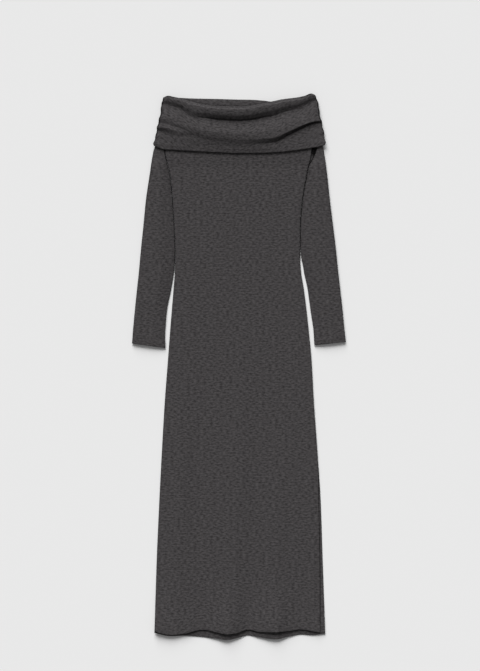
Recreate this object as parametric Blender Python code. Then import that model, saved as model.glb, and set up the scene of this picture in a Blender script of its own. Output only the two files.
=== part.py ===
"""Off-shoulder knit maxi dress with a folded, side-gathered collar, laid flat on its back.

Lengths are millimetres until a mesh is made. +X is the viewer's right, +Y runs to the neck,
+Z is up, and z = 0 is the surface that the dress lies on.
"""

from collections import namedtuple

import bmesh
import bpy
import numpy as np

MILLIMETRE = 0.001

# The knit: a wall, the gap at a seam, and the height of one layer on the next
WALL = 1.6
SEAM = 0.3
LAYER = WALL + SEAM

# Places along the dress, measured from its middle
TOP_SEAM = 556.0
HEM = -650.0
STEP_LOW = 486.0
STEP_HIGH = 518.0
HEM_FADE = 150.0

# How far the front stands off the back between its edges and how fully, how far it does so
# along the hem and more in the hem's waves, and how far those waves lift both panels
FRONT_CROWN = 0.6
CROWN_FULLNESS = 8
HEM_GAP = 1.0
HEM_GAP_FADE = 60.0
FRONT_OPEN = 1.2
HEM_LIFT = 4.6
HEM_LIFT_FADE = 190.0

# A sleeve: its height, that of its flattest parts and how fully it falls to the one beside the
# body, its cuff and how far that stands off the surface, and how square its section is along,
# under and over
SLEEVE_HEIGHT = 7.5
SLEEVE_FLAT = 2.0 * WALL + SEAM
SLEEVE_FULLNESS = 1.6
CUFF = 56.0
CUFF_FADE = 70.0
CUFF_HEIGHT = 5.0
CUFF_LIFT = 1.6
CUFF_LIFT_FADE = 150.0
SECTION_SQUARE = (0.7, 0.25, 0.7)

# How far the collar's gathers stand out of its sides, as a share of their height
GATHER_SCALLOP = 1.1

# How evenly the collar keeps its middle height towards its sides, the walls that close those,
# and how much deeper the crease under a sharp lower fold is
COLLAR_FULLNESS = 6
SIDE_BOTTOM = LAYER + 0.7
SIDE_RADIUS = 5.0
COLLAR_HALF_WIDTH = 200.0
SHARP_DEPTH = 3.2

# Mesh fineness: rows along each piece and columns across it
SLEEVE_ROWS = 14
SKIRT_ROWS = 12
FRONT_COLUMNS = 19
BACK_COLUMNS = 19
SLEEVE_COLUMNS = 16
COLLAR_FRONT_COLUMNS = 37
COLLAR_BACK_COLUMNS = 25

CHARCOAL = (0.056, 0.053, 0.054, 1.0)
KNIT_ROUGHNESS = 0.95

# Side edges of the back, and how far the front's right edge draws back from it, at the
# armhole and at the side slit
BodyRow = namedtuple("BodyRow", "y left right set_back")
BODY = [
    BodyRow(556, -183, 193, 13),
    BodyRow(530, -182, 188.5, 11),
    BodyRow(507, -178, 178.5, 4.5),
    BodyRow(494, -175, 171, 0),
    BodyRow(470, -169, 166, 0),
    BodyRow(409, -163, 155.5, 0),
    BodyRow(348, -159, 150.5, 0),
    BodyRow(282, -156.5, 149.5, 0),
    BodyRow(237, -157.5, 152, 0),
    BodyRow(189, -161, 159.5, 0),
    BodyRow(91, -169, 171, 0),
    BodyRow(17, -174.5, 178, 0),
    BodyRow(-81, -182, 183.5, 0),
    BodyRow(-228, -190.5, 194, 0),
    BodyRow(-326, -195.5, 200, 5),
    BodyRow(-473, -202, 205, 7),
    BodyRow(-650, -207.5, 211, 12.5),
]

# How far the wavy hems reach past HEM across the dress, and the waves' share of the lift
HemRow = namedtuple("HemRow", "x front back lift")
HEMS = [
    HemRow(-208, 2.5, -1, 1.0),
    HemRow(-167, -6.5, -9, 0.6),
    HemRow(-130, -2.5, -8, 0.3),
    HemRow(-88, 6.5, -11.5, 0.0),
    HemRow(-56, 0.5, -15, 0.6),
    HemRow(-30, -4.5, -18.5, 1.2),
    HemRow(-8, -2.5, -14.5, 0.8),
    HemRow(22, 6.5, -7.5, 0.0),
    HemRow(50, 1.5, -12, 0.5),
    HemRow(90, 0.5, -16.5, 1.2),
    HemRow(122, 3.5, -10, 0.4),
    HemRow(152, 7, -5.5, 0.0),
    HemRow(180, 2.5, -6.5, 0.2),
    HemRow(211, -1.5, -3, 0.4),
]

# Each sleeve: its outer edge, and its distance from the body's edge
SleeveRow = namedtuple("SleeveRow", "y outer gap")
LEFT_SLEEVE = [
    SleeveRow(556, -200, 0.6),
    SleeveRow(524, -210.5, 0.6),
    SleeveRow(470, -219, 0.6),
    SleeveRow(409, -228, 0.6),
    SleeveRow(348, -234, 0.6),
    SleeveRow(290, -240, 0.8),
    SleeveRow(230, -245.5, 2.5),
    SleeveRow(189, -250, 6),
    SleeveRow(140, -255, 12),
    SleeveRow(91, -259.5, 12.5),
    SleeveRow(56, -262, 9),
]
RIGHT_SLEEVE = [
    SleeveRow(556, 202, 0.6),
    SleeveRow(530, 207.5, 0.6),
    SleeveRow(494, 213, 0.6),
    SleeveRow(409, 222.5, 0.6),
    SleeveRow(348, 230, 0.6),
    SleeveRow(290, 237, 1.5),
    SleeveRow(237, 242.5, 7),
    SleeveRow(189, 248, 9.5),
    SleeveRow(140, 253.5, 10),
    SleeveRow(91, 258, 12),
    SleeveRow(56, 261.5, 10.5),
]

# How far each cuff reaches past CUFF, and how much further at its outer edge than at its inner
Cuff = namedtuple("Cuff", "reach tilt")
LEFT_CUFF = Cuff(-4.0, 11.0)
RIGHT_CUFF = Cuff(1.5, 8.0)

# Where the collar's folds run, from its left side (-1) to its right side (1), how full its
# upper roll is and how sharp its lower fold
FoldRow = namedtuple("FoldRow", "across top crease ridge tuck hem back_top roll sharp")
FOLDS = [
    FoldRow(-1.00, 660, 645, 609, 579, 541.5, 654, 0.50, 0.2),
    FoldRow(-0.95, 664, 644, 608, 575, 536.5, 660, 0.50, 0.3),
    FoldRow(-0.88, 661.5, 639.5, 605, 569.5, 532.5, 660, 0.50, 0.3),
    FoldRow(-0.76, 657, 632, 599, 565, 531, 659, 0.50, 0.2),
    FoldRow(-0.66, 652, 617.5, 591, 566, 529.5, 658, 0.50, 0.1),
    FoldRow(-0.57, 648, 610, 586, 566, 528.5, 657.5, 0.55, 0.0),
    FoldRow(-0.44, 642.5, 609, 580, 558, 527, 657, 0.75, 0.1),
    FoldRow(-0.30, 639.5, 605, 576, 553, 525.5, 656.5, 0.95, 0.1),
    FoldRow(0.00, 638.5, 602, 571.5, 546.5, 523.5, 655, 1.00, 0.1),
    FoldRow(0.16, 641, 604.5, 571.5, 545.5, 523.5, 654.5, 1.00, 0.3),
    FoldRow(0.32, 647, 610.5, 574, 546.5, 524, 652.5, 0.90, 0.6),
    FoldRow(0.44, 650, 615, 578, 549.5, 525.5, 650, 0.75, 0.9),
    FoldRow(0.57, 655, 624, 586, 563, 527.5, 650, 0.65, 1.0),
    FoldRow(0.76, 659.5, 633, 599, 583, 533, 656, 0.55, 1.0),
    FoldRow(0.87, 663.5, 644.5, 605.5, 593, 536.5, 660.5, 0.50, 1.0),
    FoldRow(0.96, 669.5, 652, 608, 597.5, 540, 665, 0.50, 0.6),
    FoldRow(1.00, 666, 651, 608, 598, 543, 658, 0.50, 0.3),
]

# The gathers in the collar's sides, on the left (-1) and on the right (1): the level that each
# lies at, how broad and how high it is, and how far it reaches in
Gather = namedtuple("Gather", "side level spread reach height")
GATHERS = [
    Gather(-1, 634, 8, 13, 1.2),
    Gather(-1, 608, 7, 26, 2.0),
    Gather(-1, 587, 6, 30, 2.0),
    Gather(-1, 566, 7, 16, 1.6),
    Gather(-1, 547, 6, 12, 1.8),
    Gather(1, 645, 6, 12, 1.0),
    Gather(1, 627, 8, 13, 1.4),
    Gather(1, 603, 8, 18, 1.8),
    Gather(1, 576, 7, 13, 1.8),
    Gather(1, 549, 7, 13, 2.0),
]

# A collar's section. Each row is a level between two folds, moved by a shift, with its height
# at the sides and in the middle, its share of the roll's fullness, of the lower fold's
# sharpness, of the side wall and of the gathers, its side edges, and the count of mesh rows up
# to the next
SectionRow = namedtuple(
    "SectionRow", "above below share shift side middle roll sharp wall gather left right rows"
)

# The front runs from its seam up, over the top fold and down to its lower edge
FRONT_SECTION = [
    SectionRow("seam", "seam", 0.0, 0, 3.8, 3.8, 0, 0, 0.0, 0.0, -199, 201, 2),
    SectionRow("seam", "top", 0.45, 0, 4.2, 4.2, 0, 0, 0.0, 0.0, -194, 196, 1),
    SectionRow("top", "top", 0.0, -22, 4.9, 6.0, 0, 0, 0.0, 0.0, -186, 187, 1),
    SectionRow("top", "top", 0.0, -5, 5.5, 9.0, 1, 0, 0.0, 0.0, -183, 184, 1),
    SectionRow("top", "top", 0.0, 0, 8.4, 13.6, 1, 0, 0.0, 0.0, -183, 184, 1),
    SectionRow("top", "crease", 0.07, 0, 11.4, 18.8, 1, 0, 0.3, 0.2, -186, 187, 2),
    SectionRow("top", "crease", 0.28, 0, 12.4, 22.0, 1, 0, 0.8, 0.3, -187, 189, 2),
    SectionRow("top", "crease", 0.58, 0, 11.8, 20.6, 1, 0, 1.0, 0.5, -188, 190, 2),
    SectionRow("top", "crease", 0.88, 0, 10.2, 15.6, 1, 0, 1.0, 0.9, -190, 192, 2),
    SectionRow("crease", "crease", 0.0, -1, 9.1, 12.0, 0, 0, 1.0, 1.0, -190, 193, 1),
    SectionRow("crease", "crease", 0.0, -5, 9.0, 12.0, 0, 0, 1.0, 1.0, -190, 194, 1),
    SectionRow("crease", "crease", 0.0, -12, 9.2, 13.4, 0, 0, 1.0, 1.0, -191, 195, 3),
    SectionRow("ridge", "ridge", 0.0, 0, 10.0, 18.0, 0, 0, 1.0, 1.0, -194, 199, 3),
    SectionRow("ridge", "tuck", 0.5, 0, 9.9, 16.6, 0, 0.4, 1.0, 1.0, -198, 201, 2),
    SectionRow("ridge", "tuck", 0.8, 0, 9.7, 15.0, 0, -0.3, 1.0, 1.0, -200, 202, 1),
    SectionRow("tuck", "tuck", 0.0, 0, 9.3, 13.9, 0, -1, 1.0, 1.0, -201, 203, 2),
    SectionRow("tuck", "hem", 0.5, 0, 9.3, 11.7, 0, -0.4, 0.7, 1.0, -205, 208, 3),
    SectionRow("hem", "hem", 0.0, 3, 9.2, 9.8, 0, 0, 0.0, 0.6, -209, 211, 1),
    SectionRow("hem", "hem", 0.0, 0, 8.8, 9.2, 0, 0, 0.0, 0.0, -208, 209, 1),
]

# The back runs from its lower edge up the floor, over its top and down inside
BACK_SECTION = [
    SectionRow("hem", "hem", 0.0, 2, 0.0, 0.0, 0, 0, 0.0, 0.0, -209, 210, 2),
    SectionRow("hem", "back_top", 0.5, 0, 0.0, 0.0, 0, 0, 0.0, 1.0, -197, 199, 2),
    SectionRow("back_top", "back_top", 0.0, -7, 0.0, 0.0, 0, 0, 0.0, 0.0, -187, 188, 1),
    SectionRow("back_top", "back_top", 0.0, -1.5, 0.8, 0.8, 0, 0, 0.0, 0.0, -184, 185, 1),
    SectionRow("back_top", "back_top", 0.0, 0, 2.4, 2.4, 0, 0, 0.0, 0.0, -184, 185, 1),
    SectionRow("back_top", "back_top", 0.0, -1.5, 4.0, 4.0, 0, 0, 0.0, 0.0, -184, 185, 1),
    SectionRow("back_top", "back_top", 0.0, -8, 4.6, 4.6, 0, 0, 0.0, 0.0, -184, 185, 1),
    SectionRow("back_top", "back_top", 0.0, -30, 4.1, 4.1, 0, 0, 0.0, 0.0, -188, 190, 2),
    SectionRow("seam", "seam", 0.0, 0, 3.5, 3.5, 0, 0, 0.0, 0.0, -199, 201, 1),
]


def fade(value, start, end):
    """Runs smoothly from 0 at start to 1 at end."""
    share = np.clip((value - start) / (end - start), 0.0, 1.0)
    return share * share * (3.0 - 2.0 * share)


def steady_slopes(places, values):
    """Slopes for a curve that never swings past the values it passes through."""
    steps = np.diff(values) / np.diff(places)
    product = steps[:-1] * steps[1:]
    total = np.where(product > 0.0, steps[:-1] + steps[1:], 1.0)
    inner = np.where(product > 0.0, 2.0 * product / total, 0.0)
    return np.concatenate([steps[:1], inner, steps[-1:]])


def curve(places, values, at):
    """A smooth curve through the values at their places, read at one or many places."""
    places = np.asarray(places, float)
    values = np.asarray(values, float)
    if places[0] > places[-1]:
        places = places[::-1]
        values = values[::-1]
    slopes = steady_slopes(places, values)
    at = np.clip(at, places[0], places[-1])
    low = np.clip(np.searchsorted(places, at) - 1, 0, len(places) - 2)
    step = places[low + 1] - places[low]
    t = (at - places[low]) / step
    start = values[low] + t * t * (3 - 2 * t) * (values[low + 1] - values[low])
    bend = t * (1 - t) ** 2 * slopes[low] - t * t * (1 - t) * slopes[low + 1]
    return start + step * bend


def column(rows, name, at):
    """One column of a table, read along the table's first column."""
    places = [row[0] for row in rows]
    return curve(places, [getattr(row, name) for row in rows], at)


def rounded_steps(count):
    """Fractions from 0 to 1 that lie close at both ends, for fine edges."""
    return 0.5 - 0.5 * np.cos(np.linspace(0.0, np.pi, count))


def surface_normals(points):
    """Unit normals of a grid of points, on the side where along x across points out."""
    along = np.gradient(points, axis=0)
    across = np.gradient(points, axis=1)
    normals = np.cross(along, across)
    return normals / np.linalg.norm(normals, axis=2, keepdims=True)


def sleeve_levels():
    """Levels of the mesh rows from the top seam to the cuffs, close together at the top."""
    return TOP_SEAM + (CUFF - TOP_SEAM) * (1.0 - np.cos(np.linspace(0.0, np.pi / 2.0, SLEEVE_ROWS)))


def body_levels():
    """The sleeves' own levels, and then those of the skirt, close together at the hem."""
    skirt = CUFF + (HEM - CUFF) * np.sin(np.linspace(0.0, np.pi / 2.0, SKIRT_ROWS + 1))
    return np.concatenate([sleeve_levels(), skirt[1:]])


def body_outline(columns, set_back):
    """The place and the level of each point of a body panel, and its share across."""
    y, across = np.meshgrid(body_levels(), rounded_steps(columns), indexing="ij")
    left = column(BODY, "left", y)
    right = column(BODY, "right", y) - set_back * column(BODY, "set_back", y)
    return left + (right - left) * across, y, across


def collar_step(y):
    """One layer up where the back collar lies underneath."""
    return LAYER * fade(y, STEP_LOW, STEP_HIGH)


def hem_lift(x, y):
    """How far the hem's waves lift a panel off the surface."""
    near_hem = fade(y, HEM + HEM_LIFT_FADE, HEM)
    return column(HEMS, "lift", x) * near_hem * near_hem


def body_front_points():
    """The upper face of the front, which lies on the back and lifts with it at the hem."""
    x, y, across = body_outline(FRONT_COLUMNS, 1.0)
    reach = fade(y, HEM + HEM_FADE, HEM) * column(HEMS, "front", x)
    crown = FRONT_CROWN * (1.0 - (2.0 * across - 1.0) ** CROWN_FULLNESS)
    crown *= fade(y, STEP_HIGH, STEP_LOW)
    z = LAYER + WALL + collar_step(y) + crown + (HEM_LIFT + FRONT_OPEN) * hem_lift(x, y)
    z += HEM_GAP * fade(y, HEM + HEM_GAP_FADE, HEM)
    return np.stack([x, y + reach, z], axis=2)


def body_back_points():
    """The lower face of the back, flat on the surface but for the hem's waves."""
    x, y, _ = body_outline(BACK_COLUMNS, 0.0)
    reach = fade(y, HEM + HEM_FADE, HEM) * column(HEMS, "back", x)
    return np.stack([x, y + reach, collar_step(y) + HEM_LIFT * hem_lift(x, y)], axis=2)


def sleeve_height(y, inward):
    """Height of a sleeve, flat at the armhole and beside the body, and lower at the cuff."""
    height = SLEEVE_HEIGHT + (CUFF_HEIGHT - SLEEVE_HEIGHT) * fade(y, CUFF + CUFF_LIFT_FADE, CUFF)
    full = fade(y, STEP_HIGH, STEP_LOW) * (1.0 - np.maximum(inward, 0.0) ** SLEEVE_FULLNESS)
    return SLEEVE_FLAT + (height - SLEEVE_FLAT) * full


def sleeve_points(rows, body_side, outward, cuff, inset):
    """One face of a sleeve's flat tube: its outside, or its inside where inset is WALL."""
    turns = np.arange(SLEEVE_COLUMNS) / SLEEVE_COLUMNS * 2.0 * np.pi
    y, turn = np.meshgrid(sleeve_levels(), turns, indexing="ij")
    outer = column(rows, "outer", y)
    inner = column(BODY, body_side, y) + outward * column(rows, "gap", y)
    along, under, over = SECTION_SQUARE
    square = np.where(np.sin(turn) > 0.0, over, under)
    sideways = np.sign(np.cos(turn)) * np.abs(np.cos(turn)) ** along
    upward = np.sign(np.sin(turn)) * np.abs(np.sin(turn)) ** square
    height = sleeve_height(y, -outward * sideways)
    half_width = np.abs(outer - inner) / 2.0 - inset
    x = (outer + inner) / 2.0 + half_width * sideways
    lift = CUFF_LIFT * fade(y, CUFF + CUFF_LIFT_FADE, CUFF)
    z = collar_step(y) + lift + height / 2.0 + (height / 2.0 - inset) * upward
    reach = cuff.reach + cuff.tilt * outward * sideways / 2.0
    return np.stack([x, y + reach * fade(y, CUFF + CUFF_FADE, CUFF), z], axis=2)


def collar_path(section, across):
    """Levels and heights of a collar's section at one place across, and its lengths."""
    place = {name: column(FOLDS, name, across) for name in FoldRow._fields[1:]}
    place["seam"] = TOP_SEAM + SEAM
    middle = 1.0 - abs(across) ** COLLAR_FULLNESS
    levels = []
    heights = []
    for row in section:
        level = place[row.above] + (place[row.below] - place[row.above]) * row.share
        full = middle * (1.0 - row.roll * (1.0 - place["roll"]))
        height = row.side + (row.middle - row.side) * full
        levels.append(level + row.shift)
        heights.append(height + row.sharp * SHARP_DEPTH * place["sharp"])
    lengths = np.hypot(np.diff(levels), np.diff(heights))
    return levels, heights, np.concatenate([[0.0], np.cumsum(lengths)])


def section_stops(section):
    """Where along a section its mesh rows lie, counted in the section's own rows."""
    stops = [index + np.arange(row.rows) / row.rows for index, row in enumerate(section[:-1])]
    return np.append(np.concatenate(stops), len(section) - 1.0)


def along_section(section, name):
    """One column of a section's table at each of its mesh rows."""
    values = [getattr(row, name) for row in section]
    return curve(np.arange(len(section)), values, section_stops(section))[:, None]


def collar_points(section, columns):
    """The outer face of a collar's fold, its sides scalloped by the gathers."""
    places = 2.0 * rounded_steps(columns) - 1.0
    stops = section_stops(section)
    order = np.arange(len(section))
    left = along_section(section, "left")
    right = along_section(section, "right")
    points = np.zeros((len(stops), columns, 3))
    points[:, :, 0] = left + (right - left) * (1.0 + places) / 2.0
    for index, across in enumerate(places):
        levels, heights, lengths = collar_path(section, across)
        at = np.interp(stops, order, lengths)
        points[:, index, 1] = curve(lengths, levels, at)
        points[:, index, 2] = curve(lengths, heights, at)
    inward = (1.0 - np.abs(places)) * COLLAR_HALF_WIDTH
    gather = np.zeros(points.shape[:2])
    for fold in GATHERS:
        near = np.exp(-(((points[:, :, 1] - fold.level) / fold.spread) ** 2 + (inward / fold.reach) ** 2))
        gather += fold.height * near * (np.sign(places) == fold.side)
    gather *= along_section(section, "gather")
    points[:, :, 0] += GATHER_SCALLOP * gather * np.sign(places)
    return points, gather, inward


def collar_front_points():
    """The front collar with its roll and folds, gathered and turned down at both sides."""
    points, gather, inward = collar_points(FRONT_SECTION, COLLAR_FRONT_COLUMNS)
    points[:, :, 2] += gather
    nearness = np.clip(1.0 - inward / SIDE_RADIUS, 0.0, 1.0)
    drop = (1.0 - np.sqrt(1.0 - nearness**2)) * along_section(FRONT_SECTION, "wall")
    points[:, :, 2] -= drop * (points[:, :, 2] - SIDE_BOTTOM)
    return points


def collar_back_points():
    """The back collar, pressed flat, whose inside shows above the front's roll."""
    points, _, _ = collar_points(BACK_SECTION, COLLAR_BACK_COLUMNS)
    return points


def knit_material(name):
    """Charcoal knit, matt."""
    material = bpy.data.materials.new(name)
    material.use_nodes = True
    shader = material.node_tree.nodes["Principled BSDF"]
    shader.inputs["Base Color"].default_value = CHARCOAL
    shader.inputs["Roughness"].default_value = KNIT_ROUGHNESS
    shader.inputs["Metallic"].default_value = 0.0
    return material


def add_object(name, points, faces):
    """One named piece of the dress, shaded smooth, with its faces pointing out."""
    mesh = bpy.data.meshes.new(name)
    mesh.from_pydata((points * MILLIMETRE).tolist(), [], faces)
    shell = bmesh.new()
    shell.from_mesh(mesh)
    bmesh.ops.recalc_face_normals(shell, faces=shell.faces)
    shell.to_mesh(mesh)
    shell.free()
    mesh.shade_smooth()
    mesh.materials.append(knit_material(name + "_knit"))
    piece = bpy.data.objects.new(name, mesh)
    bpy.context.collection.objects.link(piece)


def wall_faces(rows, columns, closed):
    """Faces of two facing grids joined along their borders; closed grids meet themselves."""
    second = rows * columns
    faces = []
    across = columns if closed else columns - 1
    for i in range(rows - 1):
        for j in range(across):
            after = (j + 1) % columns
            quad = [i * columns + j, i * columns + after, (i + 1) * columns + after, (i + 1) * columns + j]
            faces.append(quad)
            faces.append([second + corner for corner in reversed(quad)])
    ends = [[i * columns + j for j in range(columns)] for i in (0, rows - 1)]
    sides = [] if closed else [[i * columns + j for i in range(rows)] for j in (0, columns - 1)]
    for border in ends:
        pairs = list(zip(border, border[1:]))
        if closed:
            pairs.append((border[-1], border[0]))
        faces.extend([a, b, second + b, second + a] for a, b in pairs)
    for border in sides:
        faces.extend([a, b, second + b, second + a] for a, b in zip(border, border[1:]))
    return faces


def add_cloth(name, points, inward):
    """A panel: its outer face, and its inner face one wall away on the inward side."""
    inner = points + inward * WALL * surface_normals(points)
    rows, columns, _ = points.shape
    both = np.concatenate([points.reshape(-1, 3), inner.reshape(-1, 3)])
    add_object(name, both, wall_faces(rows, columns, False))


def add_sleeve(name, rows, body_side, outward, cuff):
    """A sleeve: a flat tube, open at the armhole and at the cuff."""
    outside = sleeve_points(rows, body_side, outward, cuff, 0.0)
    inside = sleeve_points(rows, body_side, outward, cuff, WALL)
    both = np.concatenate([outside.reshape(-1, 3), inside.reshape(-1, 3)])
    add_object(name, both, wall_faces(SLEEVE_ROWS, SLEEVE_COLUMNS, True))


def build():
    """Clears the scene and lays out the six pieces."""
    for old in list(bpy.data.objects):
        bpy.data.objects.remove(old)
    add_cloth("body_front", body_front_points(), -1.0)
    add_cloth("body_back", body_back_points(), 1.0)
    add_sleeve("sleeve_left", LEFT_SLEEVE, "left", -1.0, LEFT_CUFF)
    add_sleeve("sleeve_right", RIGHT_SLEEVE, "right", 1.0, RIGHT_CUFF)
    add_cloth("collar_front", collar_front_points(), -1.0)
    add_cloth("collar_back", collar_back_points(), -1.0)


build()
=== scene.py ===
"""Looks of the off-shoulder knit dress, laid flat: cloth shells, stitches, knit, light and camera.

Lengths are millimetres until a mesh is made. +X is the viewer's right, +Y runs to the neck,
+Z is up, and z = 0 is the surface that the dress lies on.
"""

import math
from collections import namedtuple

import bpy
import numpy as np
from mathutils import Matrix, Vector

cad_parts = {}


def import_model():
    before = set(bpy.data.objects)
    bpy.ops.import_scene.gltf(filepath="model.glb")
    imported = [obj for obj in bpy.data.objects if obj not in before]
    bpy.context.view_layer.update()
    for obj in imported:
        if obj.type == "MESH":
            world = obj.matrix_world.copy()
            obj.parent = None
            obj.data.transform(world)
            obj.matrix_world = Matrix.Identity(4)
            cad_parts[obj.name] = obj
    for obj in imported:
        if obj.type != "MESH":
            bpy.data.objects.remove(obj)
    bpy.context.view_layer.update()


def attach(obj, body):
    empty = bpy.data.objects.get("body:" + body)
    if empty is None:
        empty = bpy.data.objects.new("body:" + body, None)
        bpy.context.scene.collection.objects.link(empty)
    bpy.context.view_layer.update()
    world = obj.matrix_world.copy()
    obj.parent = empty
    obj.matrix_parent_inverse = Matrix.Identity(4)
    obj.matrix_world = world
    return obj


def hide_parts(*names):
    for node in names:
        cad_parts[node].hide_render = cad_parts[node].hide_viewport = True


MILLIMETRE = 0.001
BODY = "root"

# The knit: a wall, the gap at a seam, and the height of one layer on the next
WALL = 1.6
SEAM = 0.3
LAYER = WALL + SEAM

# Places along the dress, measured from its middle
TOP_SEAM = 556.0
HEM = -650.0
STEP_LOW = 486.0
STEP_HIGH = 518.0
HEM_FADE = 150.0

# How far the front stands off the back between its edges and how fully, how far it does so
# along the hem and more in the hem's waves, and how far those waves lift both panels
FRONT_CROWN = 0.6
CROWN_FULLNESS = 8
HEM_GAP = 1.0
HEM_GAP_FADE = 60.0
FRONT_OPEN = 1.2
HEM_LIFT = 4.6
HEM_LIFT_FADE = 190.0

# The side seams, where front and back roll towards each other and each keeps its part of the gap
SEAM_HEIGHT = 1.75
SEAM_PART = SEAM / 4.0
SEAM_ROLL = 3.6
SEAM_ROUND = 1.8
EDGE_ROUND = 0.8
PARTED = 3.0

# How the back's strip in the right armhole dips under its step: how wide and between which levels
DIP_WIDTH = 3.0
DIP_HIGH = 543.0
DIP_LOW = 536.0

# A sleeve: its height, that of its flattest parts and how fully it falls to the one beside the
# body, its cuff and how far that stands off the surface, and how square its section is along,
# under and over
SLEEVE_HEIGHT = 7.5
SLEEVE_FLAT = 2.0 * WALL + SEAM
SLEEVE_FULLNESS = 1.6
CUFF = 56.0
CUFF_FADE = 70.0
CUFF_HEIGHT = 5.0
CUFF_LIFT = 1.6
CUFF_LIFT_FADE = 150.0
SLEEVE_TOUCH = 0.6
SECTION_SQUARE = (0.7, 0.25, 0.7)

# How far the collar's gathers stand out of its sides, as a share of their height
GATHER_SCALLOP = 1.1

# How evenly the collar keeps its middle height towards its sides, the walls that close those,
# and how much deeper the crease under a sharp lower fold is
COLLAR_FULLNESS = 6
SIDE_BOTTOM = LAYER + 0.7
SIDE_RADIUS = 5.0
COLLAR_HALF_WIDTH = 200.0
SHARP_DEPTH = 3.2

# Mesh fineness: rows along each piece and columns across it, and those in a rounded edge
EDGE_STEPS = 4
BODY_ROWS = 300
BODY_COLUMNS = 112
SLEEVE_ROWS = 170
SLEEVE_COLUMNS = 60
COLLAR_COLUMNS = 180
COLLAR_FINENESS = 6

# Side edges of the back, and how far the front's right edge draws back from it, at the
# armhole and at the side slit
BodyRow = namedtuple("BodyRow", "y left right set_back")
SIDES = [
    BodyRow(556, -183, 193, 13),
    BodyRow(530, -182, 188.5, 11),
    BodyRow(507, -178, 178.5, 4.5),
    BodyRow(494, -175, 171, 0),
    BodyRow(470, -169, 166, 0),
    BodyRow(409, -163, 155.5, 0),
    BodyRow(348, -159, 150.5, 0),
    BodyRow(282, -156.5, 149.5, 0),
    BodyRow(237, -157.5, 152, 0),
    BodyRow(189, -161, 159.5, 0),
    BodyRow(91, -169, 171, 0),
    BodyRow(17, -174.5, 178, 0),
    BodyRow(-81, -182, 183.5, 0),
    BodyRow(-228, -190.5, 194, 0),
    BodyRow(-326, -195.5, 200, 5),
    BodyRow(-473, -202, 205, 7),
    BodyRow(-650, -207.5, 211, 12.5),
]

# How far the wavy hems reach past HEM across the dress, and the waves' share of the lift
HemRow = namedtuple("HemRow", "x front back lift")
HEMS = [
    HemRow(-208, 2.5, -1, 1.0),
    HemRow(-167, -6.5, -9, 0.6),
    HemRow(-130, -2.5, -8, 0.3),
    HemRow(-88, 6.5, -11.5, 0.0),
    HemRow(-56, 0.5, -15, 0.6),
    HemRow(-30, -4.5, -18.5, 1.2),
    HemRow(-8, -2.5, -14.5, 0.8),
    HemRow(22, 6.5, -7.5, 0.0),
    HemRow(50, 1.5, -12, 0.5),
    HemRow(90, 0.5, -16.5, 1.2),
    HemRow(122, 3.5, -10, 0.4),
    HemRow(152, 7, -5.5, 0.0),
    HemRow(180, 2.5, -6.5, 0.2),
    HemRow(211, -1.5, -3, 0.4),
]

# Each sleeve: the way out from the body, its outer edge, and its distance from the body's edge
OUTWARD = {"left": -1.0, "right": 1.0}
SleeveRow = namedtuple("SleeveRow", "y outer gap")
LEFT_SLEEVE = [
    SleeveRow(556, -200, 0.6),
    SleeveRow(524, -210.5, 0.6),
    SleeveRow(470, -219, 0.6),
    SleeveRow(409, -228, 0.6),
    SleeveRow(348, -234, 0.6),
    SleeveRow(290, -240, 0.8),
    SleeveRow(230, -245.5, 2.5),
    SleeveRow(189, -250, 6),
    SleeveRow(140, -255, 12),
    SleeveRow(91, -259.5, 12.5),
    SleeveRow(56, -262, 9),
]
RIGHT_SLEEVE = [
    SleeveRow(556, 202, 0.6),
    SleeveRow(530, 207.5, 0.6),
    SleeveRow(494, 213, 0.6),
    SleeveRow(409, 222.5, 0.6),
    SleeveRow(348, 230, 0.6),
    SleeveRow(290, 237, 1.5),
    SleeveRow(237, 242.5, 7),
    SleeveRow(189, 248, 9.5),
    SleeveRow(140, 253.5, 10),
    SleeveRow(91, 258, 12),
    SleeveRow(56, 261.5, 10.5),
]

# How far each cuff reaches past CUFF, and how much further at its outer edge than at its inner
Cuff = namedtuple("Cuff", "reach tilt")
LEFT_CUFF = Cuff(-4.0, 11.0)
RIGHT_CUFF = Cuff(1.5, 8.0)

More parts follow.
